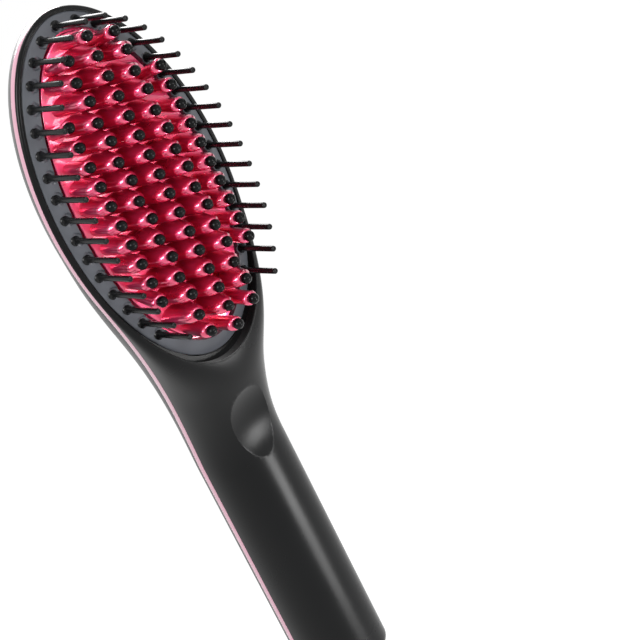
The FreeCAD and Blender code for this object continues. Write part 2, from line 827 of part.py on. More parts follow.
def tray(top):
    walls = recessPrism(0.0, -60, -trayFloor).cut(recessPrism(recessWall, -61, 0))
    well = powerPrism(powerRecess, -60, -trayFloor)
    well = well.cut(powerPrism(powerRecess - recessWall, -61, 0))
    walls = Part.makeCompound([walls, well]).common(top)
    low, high = -trayFloor, -trayFloor + trayThick
    bridge = powerRecess - 1.0
    floor = block((recessEnd - recessWidth / 2, powerAt), (-bridge, bridge), (low, high))
    floor = floor.fuse([recessPrism(0.0, low, high), powerPrism(powerRecess, low, high)])
    holes = [rod(postRadius + postPlay, a, 0, -trayFloor - 1, 0) for a in buttonPlaces() + (powerAt,)]
    legs = [rod(trayLeg, recessEnd + trayLeg, w, high, -boardDepth) for w in (-bridge + trayLeg, bridge - trayLeg)]
    export(floor.fuse(walls.Solids + legs).cut(holes), "button_tray")


def display():
    window = displayBlock(displayWidth, displayHeight, windowSunk, windowThick)
    glassDepth = windowSunk + windowThick
    wide, high = displayWidth + 2 * glassOver, displayHeight + 2 * glassOver
    glass = displayBlock(wide, high, glassDepth, glassThick)
    light = displayBlock(wide, high, glassDepth + glassThick, lightThick)
    export(window, "display_window")
    export(glass, "lcd_glass")
    export(light, "backlight")
    under = displayBlock(wide, high, glassDepth + glassThick + lightThick, 20.0)
    stand = block((displayAt - displayHeight / 2, displayAt + displayHeight / 2),
                  (-displayWidth / 2, displayWidth / 2), (-60, -boardDepth))
    stand = stand.common(under)
    export(stand.cut(rod(3.0, displayAt, 0, -61, 0)), "display_stand")


# ---- control board and what it carries

def board():
    plate = block((boardStart, boardEnd), (-boardWidth / 2, boardWidth / 2), (-boardDepth, boardFront))
    holes = [rod(screwRadius + 0.2, a, w, -boardDepth - 1, boardFront + 1) for a, w in boardScrews()]
    holes += [rod(standoffRadius + 0.4, a, 0, -boardDepth - 1, boardFront + 1) for a in housingScrews]
    export(plate.cut(holes), "control_board")
    reach = boardThick + boardScrewLength - 0.3
    export(Part.makeCompound([screw(a, w, boardFront, -1, reach) for a, w in boardScrews()]), "board_screws")
    shanks = []
    for a in housingScrews:
        shanks.append(screw(a, 0, housingSeat(a), 1, -boardDepth + 4 - housingSeat(a)))
    export(Part.makeCompound(shanks), "housing_screws")
    chip = block((154, 166), (-6, 6), (boardFront, boardFront + 1.6))
    export(chip, "control_chip")
    tab = block((206, 222), (-9.0, -7.6), (boardFront, boardFront + 11))
    body = block((206, 222), (-7.6, -4.4), (boardFront, boardFront + 9))
    hole = Part.makeCylinder(1.7, 20, at(214, -20, boardFront + 9.3 - 1.2), V(1, 0, 0))
    export(tab.fuse(body).cut(hole).removeSplitter(), "power_triac")
    capacitor = block((206, 224), (0.5, 7.5), (boardFront, boardFront + 12))
    upright = [e for e in capacitor.Edges if abs(e.Vertexes[0].Y - e.Vertexes[-1].Y) > 1]
    capacitor = capacitor.makeFillet(0.8, upright)
    export(capacitor, "film_capacitor")
    socket = block((leadSocket - 3.5, leadSocket + 3.5), (-leadSpread - 2, leadSpread + 2),
                   (boardFront, boardFront + socketHigh))
    export(socket, "lead_socket")


def leads():
    heater, mains = [], []
    for side in (-1, 1):
        w = side * leadSpread
        start = heaterAt + heaterLength / 2
        clear = heaterAt + clampReach + 2
        n = plateBottom - leadRadius - 0.05
        top = boardFront + socketHigh / 2
        points = [at(start, w, n), at(clear, w, n), at(clear + 9, w, n - 7.5),
                  at(leadSocket - 12, w, top), at(leadSocket - 3.5, w, top)]
        heater.append(wire(points, leadRadius))
        points = [at(boardEnd - 12, w, boardFront + leadRadius), at(boardEnd - 1, w, boardFront + leadRadius),
                  at(contactAt - 12, w * 1.6, endMiddle + 5), at(contactAt - 4, w * 1.9, endMiddle + 4)]
        mains.append(wire(points, leadRadius))
    export(Part.makeCompound(heater), "heater_leads")
    export(Part.makeCompound(mains), "mains_leads")


# ---- cord gland

def gland():
    mouth = at(overallLength, 0, endMiddle)
    sleeve = Part.makeCylinder(glandRadius, glandStickOut + glandInner, mouth, TOWARD_HEAD)
    collarThick = glandStickOut - glandFaceGap
    collar = Part.makeCylinder(glandCollar, collarThick, mouth, TOWARD_HEAD)
    collar = collar.makeFillet(0.6, [e for e in collar.Edges if abs(e.BoundBox.ZMax) < 0.01])
    groove = clipZ()
    ring = Part.makeCylinder(glandRadius + 1, clipThick, groove, TOWARD_HEAD)
    ring = ring.cut(Part.makeCylinder(glandRadius - clipDeep, clipThick, groove, TOWARD_HEAD))
    bore = Part.makeCylinder(cordBore, 60, mouth - V(0, 0, 1), TOWARD_HEAD)
    export(sleeve.fuse(collar).cut([ring, bore]), "cord_gland")
    clip = Part.makeCylinder(clipRadius, clipThick - 0.1, groove + V(0, 0, 0.05), TOWARD_HEAD)
    clip = clip.cut(Part.makeCylinder(glandRadius - clipDeep + 0.02, 9, groove - V(0, 0, 4), TOWARD_HEAD))
    clip = clip.cut(Part.makeBox(5.0, 20, 10, groove + V(-2.5, 0, -4)))
    export(clip, "gland_clip")
    rings, leaves = [], []
    for i in range(2):
        foot = groove + V(0, 0, clipThick + 2.2 + i * ringPitch)
        band = Part.makeCylinder(glandRadius + ringThick, ringWidth, foot, TOWARD_HEAD)
        rings.append(band.cut(Part.makeCylinder(glandRadius, ringWidth, foot, TOWARD_HEAD)))
        # leaf spring standing beside its ring on the carrier block
        y = foot.y + glandRadius + ringThick + contactGap
        rise = Part.makeBox(6.0, leafThick, leafWidth, V(-3.0, y, foot.z + 0.1))
        leaves.append(rise)
    export(Part.makeCompound(rings), "slip_rings")
    export(Part.makeCompound(leaves), "contact_leaves")
    low = leaves[0].BoundBox
    carrier = Part.makeBox(11.0, 30, 2 * ringPitch + 1.5, V(-5.5, low.YMax, low.ZMin - 1.0))
    export(carrier.common(hull(wall)), "contact_carrier")


def clipZ():
    # foot of the clip's groove, just inside the handle's end wall
    return at(handleEnd - wall - 0.4, 0, endMiddle)


housing()
pinFrame()
export(heatingPlate(), "heating_plate")
export(combTeeth(), "comb_teeth")
export(toothCaps(), "tooth_caps")
heaterParts()
controls()
board()
leads()
gland()
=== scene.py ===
import json
import math
import bpy
import numpy as np
from mathutils import Matrix, Vector


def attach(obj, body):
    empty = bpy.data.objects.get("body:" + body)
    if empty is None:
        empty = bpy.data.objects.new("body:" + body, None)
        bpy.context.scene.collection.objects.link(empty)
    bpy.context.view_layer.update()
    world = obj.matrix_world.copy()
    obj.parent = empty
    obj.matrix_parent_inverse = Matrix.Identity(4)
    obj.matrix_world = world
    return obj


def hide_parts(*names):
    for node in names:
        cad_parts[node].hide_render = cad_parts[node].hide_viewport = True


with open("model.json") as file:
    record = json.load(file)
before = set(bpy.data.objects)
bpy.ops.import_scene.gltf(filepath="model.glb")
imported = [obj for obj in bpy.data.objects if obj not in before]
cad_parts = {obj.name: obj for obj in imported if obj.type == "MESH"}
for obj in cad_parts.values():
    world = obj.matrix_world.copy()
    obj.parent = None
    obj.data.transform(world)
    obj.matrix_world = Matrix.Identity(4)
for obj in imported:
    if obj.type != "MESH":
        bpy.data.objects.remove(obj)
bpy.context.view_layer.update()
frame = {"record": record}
print("frame loaded")

# sizes of the brush in millimetres; a runs from the head's tip, w across, n toward the bristles
brush = {"length": 282.0, "handleEnd": 280.0, "headHalf": 36.7, "widest": 68.5, "neckEnd": 176.0,
         "handleHalf": 17.3, "domeDepth": 33.0, "domeEnd": 181.0, "handleBack": 12.2, "handleFront": 19.4,
         "rimRise": 3.2, "lipStart": 94.0, "lipEnd": 150.0, "tipRound": 10.0, "seamDrop": 25.0,
         "dropStart": 97.0, "dropEnd": 183.0, "seamTail": 3.4, "endRound": 4.0, "domeHandle": 0.22, "backPower": 2.2,
         "rimPower": 8.0, "gripPower": 2.3, "wall": 2.2, "middle": -24.8}


def place(a, w, n):
    # position in metres of points given along, across and above the head's seam
    a, w, n = np.broadcast_arrays(a, w, n)
    return np.stack([w, brush["middle"] - n, brush["length"] - a], -1) / 1000.0


def ease(first, last, a, start, end):
    # cosine ease from one value to the other
    t = np.clip((a - start) / (end - start), 0.0, 1.0)
    return first + (last - first) * 0.5 * (1.0 - np.cos(np.pi * t))


def seamRise(a):
    # the seam swings to the back between head and handle, then drops a little along the grip
    tail = np.maximum(a - brush["dropEnd"], 0.0) / (brush["length"] - brush["dropEnd"])
    return ease(0.0, -brush["seamDrop"], a, brush["dropStart"], brush["dropEnd"]) - brush["seamTail"] * tail


def endPull(a, inset):
    # quarter round at the handle's end
    radius = brush["endRound"] - min(inset, brush["endRound"] - 0.6)
    x = np.clip(a - (brush["handleEnd"] - inset - radius), 0.0, radius)
    return radius - np.sqrt(radius ** 2 - x ** 2)


def nose(a, inset):
    # half ellipse of the head's front end
    return np.sqrt(np.clip(1.0 - ((brush["widest"] - a) / (brush["widest"] - inset)) ** 2, 0.0, 1.0))


def halfWidth(a, inset=0.0):
    taper = ease(brush["headHalf"], brush["handleHalf"], a, brush["widest"], brush["neckEnd"])
    head = (brush["headHalf"] - inset) * nose(a, inset)
    return np.where(a < brush["widest"], head, taper - inset - endPull(a, inset))


def backDepth(a, inset=0.0):
    taper = ease(brush["domeDepth"], brush["handleBack"], a, brush["widest"], brush["domeEnd"])
    head = (brush["domeDepth"] - inset) * nose(a, inset)
    return np.where(a < brush["widest"], head, taper - inset - endPull(a, inset))


def frontDepth(a, inset=0.0):
    lift = (1.0 - (1.0 - np.clip((a - inset) / brush["tipRound"], 0.0, 1.0)) ** 4) ** 0.25
    rim = (brush["rimRise"] - inset) * lift
    rise = ease(rim, brush["handleFront"] - inset, a, brush["lipStart"], brush["lipEnd"])
    return rise - endPull(a, inset)


def linear(code):
    # sRGB hex code to linear colour
    parts = [int(code[i:i + 2], 16) / 255.0 for i in (1, 3, 5)]
    return [p / 12.92 if p <= 0.04045 else ((p + 0.055) / 1.055) ** 2.4 for p in parts] + [1.0]


def addNode(tree, kind, settings=(), links=()):
    # one node with its settings, and links as (own input, other node, its output)
    node = tree.nodes.new("ShaderNode" + kind)
    for name, value in dict(settings).items():
        if isinstance(name, int) or name in node.inputs:
            node.inputs[name].default_value = value
        else:
            setattr(node, name, value)
    for own, other, out in links:
        tree.links.new(other.outputs[out], node.inputs[own])
    return node


camera = bpy.data.objects.new("camera", bpy.data.cameras.new("camera"))
bpy.context.collection.objects.link(camera)
camera.data.lens = 123.75
camera.data.sensor_width = 36.0
camera.data.clip_start, camera.data.clip_end = 0.05, 20.0
right, up, back = (0.6838, -0.5936, -0.4242), (0.55, 0.0374, 0.8343), (-0.4794, -0.8039, 0.3521)
camera.matrix_world = Matrix([(right[i], up[i], back[i], (-0.345, -0.6736, 0.4157)[i]) for i in range(3)]
                             + [(0, 0, 0, 1)])
bpy.context.scene.camera = camera
bpy.context.scene.view_settings.view_transform = "Standard"

floor = bpy.data.objects.new("floor", bpy.data.meshes.new("floor"))
floor.data.from_pydata([(-4, -4, -0.6), (4, -4, -0.6), (4, 4, -0.6), (-4, 4, -0.6)], [], [(0, 1, 2, 3)])
bpy.context.collection.objects.link(floor)
paper = bpy.data.materials.new("whitePaper")
paper.use_nodes = True
tree = paper.node_tree
tree.nodes.clear()


def whiteRays(tree):
    # 1 for camera, glossy and transmission rays, which see the background as white
    seen = addNode(tree, "LightPath")
    clear = addNode(tree, "Math", {"operation": "MAXIMUM"}, [(0, seen, "Is Camera Ray"),
                                                             (1, seen, "Is Transmission Ray")])
    return addNode(tree, "Math", {"operation": "MAXIMUM"}, [(0, clear, 0), (1, seen, "Is Glossy Ray")])


glowing = addNode(tree, "Math", {"operation": "MULTIPLY", 1: 0.9}, [(0, whiteRays(tree), 0)])
matte = addNode(tree, "BsdfDiffuse", {"Color": (0.35, 0.35, 0.35, 1)})
glow = addNode(tree, "Emission", {"Color": (1, 1, 1, 1)}, [("Strength", glowing, 0)])
both = addNode(tree, "AddShader", {}, [(0, matte, 0), (1, glow, 0)])  # glow over a floor that takes shadows
addNode(tree, "OutputMaterial", {}, [("Surface", both, 0)])
floor.data.materials.append(paper)

world = bpy.data.worlds.new("studio")
bpy.context.scene.world = world
world.use_nodes = True
tree = world.node_tree
tree.nodes.clear()
soft = addNode(tree, "Background", {"Color": (1, 1, 1, 1), "Strength": 0.35})
white = addNode(tree, "Background", {"Color": (1, 1, 1, 1), "Strength": 1.0})
both = addNode(tree, "MixShader", {}, [(0, whiteRays(tree), 0), (1, soft, 0), (2, white, 0)])
addNode(tree, "OutputWorld", {}, [("Surface", both, 0)])

# each lamp: where it stands, how wide and tall it is, and its power
lamps = {"key": ((-0.95, -0.6, 0.75), (0.42, 0.42), 9.5), "front": ((0.3, -1.1, 0.42), (0.35, 0.35), 4.0),
         "low": ((0.32, -0.63, -0.23), (0.19, 0.22), 2.4), "back": ((0.35, 0.9, 0.7), (0.6, 0.6), 13.0)}
for name, (where, (wide, tall), power) in lamps.items():
    lamp = bpy.data.objects.new(name, bpy.data.lights.new(name, "AREA"))
    lamp.data.shape, lamp.data.size, lamp.data.size_y, lamp.data.energy = "RECTANGLE", wide, tall, power
    lamp.location = where
    lamp.rotation_euler = (Vector((0, 0, 0.17)) - Vector(where)).to_track_quat("-Z", "Y").to_euler()
    bpy.context.collection.objects.link(lamp)
print("camera and lamps ready")


def finish(name, colour, second, shine, grain, smear, **extra):
    # colour and its variation, (roughness, its swing), (grain mm, bump mm), size in mm of the uneven patches
    material = bpy.data.materials.new(name)
    material.use_nodes = True
    tree = material.node_tree
    tree.nodes.clear()
    where = addNode(tree, "TexCoord")
    patches = addNode(tree, "TexNoise", {"Scale": 1000.0 / smear, "Detail": 4.0}, [("Vector", where, "Object")])
    tint = addNode(tree, "MixRGB", {1: linear(colour), 2: linear(second)}, [(0, patches, 0)])
    rough = addNode(tree, "MapRange", {1: 0.3, 2: 0.7, 3: shine[0] - shine[1], 4: shine[0] + shine[1]},
                    [(0, patches, 0)])
    fine = addNode(tree, "TexNoise", {"Scale": 1000.0 / grain[0], "Detail": 2.0}, [("Vector", where, "Object")])
    bump = addNode(tree, "Bump", {"Strength": 1.0, "Distance": grain[1] / 1000.0}, [("Height", fine, 0)])
    surface = addNode(tree, "BsdfPrincipled", extra.get("shader", {}),
                      [("Base Color", tint, 0), ("Roughness", rough, 0), ("Normal", bump, 0)])
    addNode(tree, "OutputMaterial", {}, [("Surface", surface, 0)])
    return material


# soft-touch lacquer on moulded ABS: a matt sheen with broad highlights
softTouchAbs = finish("softTouchAbs", "#0d0e10", "#121316", (0.38, 0.04), (0.35, 0.004), 30,
                      shader={"Specular IOR Level": 0.18, "Sheen Weight": 0.25, "Sheen Roughness": 0.45})
# moulded ABS of the neck and grip: the same black with a slightly glossier skin
satinAbs = finish("satinAbs", "#050607", "#090a0b", (0.26, 0.03), (0.35, 0.003), 30,
                  shader={"Specular IOR Level": 0.16, "Sheen Weight": 0.2, "Sheen Roughness": 0.45})
# glossy tinted ABS strip: clean pink line
pinkAbs = finish("pinkAbs", "#f6b0c8", "#f3bccf", (0.26, 0.03), (0.5, 0.001), 12, shader={"Coat Weight": 0.6})
# glass-filled nylon of the ring: satin grey that shows its moulded surface
filledNylon = finish("filledNylon", "#54575d", "#5e6167", (0.33, 0.05), (0.5, 0.004), 9,
                     shader={"Specular IOR Level": 0.4})
# plain nylon of the pins: dark and a little waxy
pinNylon = finish("pinNylon", "#0b0b0c", "#101112", (0.27, 0.04), (0.3, 0.002), 5,
                  shader={"Specular IOR Level": 0.22})
# anodised die-cast aluminium: deep pink metal with bright flanks
anodisedAluminium = finish("anodisedAluminium", "#de2c52", "#e23c78", (0.3, 0.04), (1.6, 0.0005), 8,
                           shader={"Metallic": 0.7, "Coat Weight": 1.0, "Coat Roughness": 0.04, "Coat IOR": 1.75})
# heat-proof nylon of the balls: semi-gloss black
capNylon = finish("capNylon", "#050506", "#080809", (0.2, 0.03), (0.3, 0.001), 4, shader={"Specular IOR Level": 0.14})
# silver lacquer on the control panel: satin gunmetal
gunmetalLacquer = finish("gunmetalLacquer", "#626468", "#6c6e72", (0.3, 0.04), (0.2, 0.002), 14,
                         shader={"Metallic": 0.75})
# moulded ABS of the buttons: fine matt texture
buttonAbs = finish("buttonAbs", "#232427", "#2a2b2f", (0.46, 0.05), (0.25, 0.008), 6)
# unpainted ABS of the tray and other hidden frames: flat black that stays behind
blackAbs = finish("blackAbs", "#0c0c0d", "#121213", (0.5, 0.05), (0.4, 0.005), 10)
# chromed ABS divider: mirror bright
chromedAbs = finish("chromedAbs", "#d9dadc", "#e4e5e7", (0.12, 0.03), (0.8, 0.002), 8, shader={"Metallic": 1.0})
# sintered alumina plate: chalky white
alumina = finish("alumina", "#e9e6df", "#dfdcd4", (0.6, 0.06), (0.15, 0.006), 12)
# pressed mica sheet: pale gold flakes
mica = finish("mica", "#b9aa7f", "#d2c59c", (0.4, 0.1), (1.5, 0.01), 3)
# cold-rolled spring steel: grey with a soft rolled shine
springSteel = finish("springSteel", "#9b9da0", "#b0b2b5", (0.3, 0.06), (0.2, 0.003), 8, shader={"Metallic": 1.0})
# zinc-plated screw steel: pale and bluish bright
zincSteel = finish("zincSteel", "#a4a6a8", "#b8babd", (0.33, 0.06), (0.3, 0.003), 3, shader={"Metallic": 1.0})
# amber glass bead of the thermistor: a clear warm drop
amberGlass = finish("amberGlass", "#b06a35", "#c27a40", (0.08, 0.02), (1.0, 0.002), 4,
                    shader={"Transmission Weight": 0.6, "IOR": 1.5})
# silicone rubber of the leads: dull and slightly soft, red to the heater and white to the mains
redSilicone = finish("redSilicone", "#9c1f1f", "#a82a28", (0.55, 0.05), (0.4, 0.006), 8)
whiteSilicone = finish("whiteSilicone", "#dcdad5", "#e6e4df", (0.55, 0.05), (0.4, 0.006), 8)
# moulded white ABS of the light box and sockets: plain and milky
whiteAbs = finish("whiteAbs", "#e3e2dd", "#ebeae6", (0.45, 0.05), (0.4, 0.004), 10)
# solder mask on glass-fibre board: green with the weave just showing
solderMask = finish("solderMask", "#1d5b34", "#24683c", (0.35, 0.06), (0.5, 0.01), 7)
# polyester case of the capacitor: smooth mustard yellow
polyesterCase = finish("polyesterCase", "#c9a53a", "#d4b148", (0.4, 0.05), (0.5, 0.005), 7)
# drawn brass of the contacts: warm bright metal
brass = finish("brass", "#c9a257", "#d4b06a", (0.22, 0.05), (0.3, 0.003), 5, shader={"Metallic": 1.0})

finishes = {"soft_touch_black": softTouchAbs, "satin_black": satinAbs, "pink_plastic": pinkAbs,
            "charcoal_nylon": filledNylon, "magenta_metal": anodisedAluminium, "cap_rubber": capNylon,
            "alumina": alumina, "mica": mica, "spring_steel": springSteel, "steel": zincSteel,
            "glass_bead": amberGlass, "red_silicone": redSilicone, "silver_paint": gunmetalLacquer,
            "clear_window": whiteAbs, "blue_lcd": blackAbs, "white_plastic": whiteAbs, "tray_black": blackAbs,
            "chrome_bar": chromedAbs, "button_black": buttonAbs, "green_board": solderMask,
            "yellow_case": polyesterCase, "white_silicone": whiteSilicone, "brass": brass}
slotOf = {row["node"]: row["material_slot"] for row in frame["record"]["subparts"]}
dressed = [thing for thing in bpy.data.objects if thing.type == "MESH" and thing.name in slotOf]
for thing in dressed:
    for holder in thing.material_slots:
        holder.material = finishes[slotOf[thing.name]]
print("finishes on", len(dressed), "nodes of", len(slotOf))


def joinSheets(name, sheets, body, material, stands=()):
    # every sheet is points[copy, row, column]; columns close round, rows end in poles where asked
    points, faces, start = [], [], 0
    for sheet in sheets:
        grid = sheet["points"] if sheet["points"].ndim == 4 else sheet["points"][None]
        k, rows, cols = grid.shape[:3]
        index = start + np.arange(k * rows * cols).reshape(k, rows, cols)
        points.append(grid.reshape(-1, 3))
        start += k * rows * cols
        along = np.concatenate([index, index[:, :, :1]], 2)
        if sheet.get("loop"):
            along = np.concatenate([along, along[:, :1]], 1)
        quads = np.stack([along[:, :-1, :-1], along[:, :-1, 1:], along[:, 1:, 1:], along[:, 1:, :-1]], -1)
        own = [quads.reshape(-1, 4)]
        for end, row in ((0, "first"), (-1, "last")):
            if sheet.get(row):
                poles = start + np.arange(k)
                points.append(grid[:, end].mean(1))
                start += k
                edge = along[:, end]
                pair = (edge[:, 1:], edge[:, :-1]) if end == 0 else (edge[:, :-1], edge[:, 1:])
                fan = np.stack([pair[0], pair[1], np.broadcast_to(poles[:, None], pair[0].shape)], -1)
                own.append(fan.reshape(-1, 3))
        everything = np.concatenate(points)
        volume = 0.0
        for part in own:
            a, b, c = (everything[part[:, i]] for i in range(3))
            volume += np.einsum("ij,ij->i", a, np.cross(b, c)).sum()
            if part.shape[1] == 4:
                volume += np.einsum("ij,ij->i", a, np.cross(c, everything[part[:, 3]])).sum()
        faces += [f for part in own for f in (part[:, ::-1] if volume < 0 else part).tolist()]
    mesh = bpy.data.meshes.new(name)
    mesh.from_pydata(np.concatenate(points).tolist(), [], faces)
    mesh.update()
    mesh.polygons.foreach_set("use_smooth", np.ones(len(mesh.polygons), bool))
    mesh.set_sharp_from_angle(angle=math.radians(38))
    thing = bpy.data.objects.new(name, mesh)
    bpy.context.collection.objects.link(thing)
    if material:
        mesh.materials.append(material)
        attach(thing, body)
        if stands:
            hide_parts(*stands)
    print(name, len(faces))
    return thing


def eggOutline(inset, reach, t):
    # two half ellipses meeting at the widest station, t from the tip
    length = np.where(np.cos(t) > 0, brush["widest"], reach) - inset
    return brush["widest"] - length * np.cos(t), (brush["headHalf"] - inset) * np.sin(t)


def evenSteps(inset, reach, pitch, pairs):
    # angles of the tip and of equal steps down both sides
    t = np.linspace(0, math.pi, 4001)
    a, w = eggOutline(inset, reach, t)
    walked = np.concatenate([[0.0], np.cumsum(np.hypot(np.diff(a), np.diff(w)))])
    side = np.interp(pitch * np.arange(1, pairs + 1), walked, t)
    return np.concatenate([[0.0], side, -side])


# ring of the head: sloping face with a shallow scallop under each pin
ring = {"reach": 67.0, "outer": 2.0, "inner": 7.7, "outerRise": 2.9, "innerRise": 5.2, "bevel": 0.9,
        "scallopRadius": 5.5, "scallopDepth": 0.45}
pins = {"inset": 5.2, "pitch": 7.8, "pairs": 16, "radius": 1.05, "root": 1.9, "tip": 23.8}
pinA, pinW = eggOutline(pins["inset"], ring["reach"], evenSteps(pins["inset"], ring["reach"], pins["pitch"],
                                                               pins["pairs"]))


def slopeRise(inset):
    start = ring["outer"] + ring["bevel"]
    return ring["outerRise"] + (inset - start) * (ring["innerRise"] - ring["outerRise"]) / (ring["inner"] - start)


def ringSheet():
    # profile of insets and rises carried round the egg; the face dips by a sphere's cap near each pin
    face = np.linspace(ring["outer"] + ring["bevel"], ring["inner"] - 0.35, 26)
    inset = np.concatenate([[2.0, 2.0, 2.0, 2.1, 2.4], face, [7.5, 7.64, 7.7, 7.7, 7.7, 5.0]])
    rise = np.concatenate([[1.9, 2.1, 2.35, 2.52, 2.72], slopeRise(face), [5.1, 4.98, 4.75, 3.4, 1.9, 1.9]])
    t = np.linspace(0, 2 * math.pi, 900, endpoint=False)
    a, w = eggOutline(inset[:, None], ring["reach"], t[None, :])
    n = np.broadcast_to(rise[:, None], a.shape).copy()
    foot = slopeRise(pins["inset"]) - ring["scallopDepth"] + ring["scallopRadius"]
    for pinAt, pinAcross in zip(pinA, pinW):
        far = (a - pinAt) ** 2 + (w - pinAcross) ** 2
        dip = foot - np.sqrt(np.clip(ring["scallopRadius"] ** 2 - far, 0.0, None))
        n = np.where((far < 6.3) & (n > 2.2), np.minimum(n, dip), n)
    return {"points": place(a, w, n), "loop": True}


def turned(profile, count, a, w, lift=0.0):
    # profile of radii and rises turned about upright axes at the places
    turn = np.linspace(0, 2 * math.pi, count, endpoint=False)
    radius, rise = np.array(profile).T
    alongA = np.atleast_1d(a)[:, None, None] + radius[None, :, None] * np.cos(turn)
    acrossW = np.atleast_1d(w)[:, None, None] + radius[None, :, None] * np.sin(turn)
    n = np.reshape(lift, (-1, 1, 1)) + rise[None, :, None]
    return {"points": place(alongA, acrossW, n), "first": True, "last": True}


low = slopeRise(pins["inset"]) - ring["scallopDepth"]
pinProfile = [(1.5, low - 0.35), (pins["root"], low - 0.1), (pins["root"], low + 0.12), (1.62, low + 0.38),
              (1.36, low + 0.85), (1.2, low + 1.5), (1.1, low + 2.3), (pins["radius"], low + 3.4),
              (pins["radius"], 14.0), (pins["radius"], pins["tip"] - 0.4),
              (0.99, pins["tip"] - 0.14), (0.86, pins["tip"]), (0.66, pins["tip"] - 0.04),
              (0.4, pins["tip"] - 0.25), (0.15, pins["tip"] - 0.33)]
joinSheets("ringFace", [ringSheet()], "brush", filledNylon, ["pin_frame"])
joinSheets("edgePins", [turned(pinProfile, 20, pinA, pinW)], "brush", pinNylon, ["edge_pins"])

# heating plate and its comb teeth
comb = {"pitch": 7.55, "first": 10.2, "rows": 16, "column": 10.8, "zigzag": 0.6, "outer": 20.95, "skip": 3,
        "inset": 8.7, "rise": 4.6, "shoulder": 16.7, "crown": 2.0, "wide": (6.9, 3.6), "base": (4.8, 3.2),
        "edgeBase": (3.0, 2.2), "margin": 9.7}
teeth = []
for row in range(comb["rows"]):
    a = comb["first"] + row * comb["pitch"]
    teeth.append((a, 0.0))
    if comb["skip"] <= row < comb["rows"] - comb["skip"]:
        teeth += [(a, -comb["outer"]), (a, comb["outer"])]
    if row < comb["rows"] - 1:
        w = comb["column"] + (comb["zigzag"] if row % 2 else -comb["zigzag"])
        teeth += [(a + comb["pitch"] / 2, -w), (a + comb["pitch"] / 2, w)]
toothA, toothW = np.array(teeth).T
shoulder = comb["shoulder"] + comb["crown"] * (1.0 - (toothW / 21.6) ** 2)


def outside(size):
    # over 1 where a foot of this size would leave the plate
    along = np.where(toothA < brush["widest"], brush["widest"], ring["reach"]) - comb["margin"] - size[1]
    return np.hypot((toothA - brush["widest"]) / along, toothW / (brush["headHalf"] - comb["margin"] - size[0]))


leaning = outside(comb["base"]) > 1.0
pull = np.where(leaning, np.maximum(outside(comb["edgeBase"]), 1.0), 1.0)
footA, footW = brush["widest"] + (toothA - brush["widest"]) / pull, toothW / pull


# tooth profile from foot to ball: share of the height, half widths across and along over the foot's own
toothMap = np.array([(0.0, 1.0, 1.0), (0.1, 0.86, 0.88), (0.2, 0.72, 0.76), (0.32, 0.57, 0.6), (0.45, 0.43, 0.43),
                     (0.58, 0.31, 0.28), (0.7, 0.19, 0.16), (0.79, 0.08, 0.07), (0.86, 0.0, 0.0)])
topMap = np.array([(0.86, 4.1, 2.7), (0.885, 3.85, 2.64), (0.92, 3.4, 2.56), (0.955, 2.92, 2.44), (0.985, 2.45, 2.28),
                   (1.0, 2.0, 2.0), (1.0, 1.0, 1.0)])


def toothSheet():
    # oval rings that narrow from a flared foot to a sloping shoulder, which closes under the ball
    turn = np.linspace(0, 2 * math.pi, 36, endpoint=False)
    roomy = outside(comb["wide"]) <= 1.0
    half = []
    for i in range(2):
        foot = np.where(roomy, comb["wide"][i], np.where(leaning, comb["edgeBase"][i], comb["base"][i]))[:, None]
        top = np.where(leaning, np.minimum(topMap[0, 1 + i], foot[:, 0] + 0.2), topMap[0, 1 + i])[:, None]
        flank = top + (foot - top) * toothMap[None, :, 1 + i]
        crown = np.minimum(topMap[None, 1:, 1 + i], top)
        half.append(np.concatenate([flank, crown], 1)[:, :, None])
    t = np.concatenate([toothMap[:, 0], topMap[1:, 0]])[None, :, None]
    a = footA[:, None, None] * (1 - t) + toothA[:, None, None] * t + half[1] * np.cos(turn)
    w = footW[:, None, None] * (1 - t) + toothW[:, None, None] * t + half[0] * np.sin(turn)
    n = comb["rise"] + (shoulder[:, None, None] - comb["rise"]) * t
    return {"points": place(a, w, n), "first": True, "last": True}


def plateSheet():
    # egg outlines stacked into a slab with a soft edge
    inset = np.array([6.5, 6.5, comb["inset"], comb["inset"], 8.75, 8.95, 9.3, 14.0, 22.0])
    rise = np.array([0.7, 1.85, 1.9, 4.0, 4.3, 4.52] + 3 * [comb["rise"]])
    t = np.linspace(0, 2 * math.pi, 240, endpoint=False)
    a, w = eggOutline(inset[:, None], ring["reach"], t[None, :])
    return {"points": place(a, w, rise[:, None]), "first": True, "last": True}


joinSheets("combPlate", [plateSheet()], "brush", anodisedAluminium, ["heating_plate"])
joinSheets("combTeeth", [toothSheet()], "brush", anodisedAluminium, ["comb_teeth"])
ball = {"radius": 2.0, "sunk": 1.25}
sweep = np.radians(np.linspace(127, 6, 12))
ballProfile = np.stack([ball["radius"] * np.sin(sweep), ball["sunk"] + ball["radius"] * np.cos(sweep)], -1)
joinSheets("ballCaps", [turned(ballProfile, 22, toothA, toothW, shoulder)], "brush", capNylon,
           ["tooth_caps"])

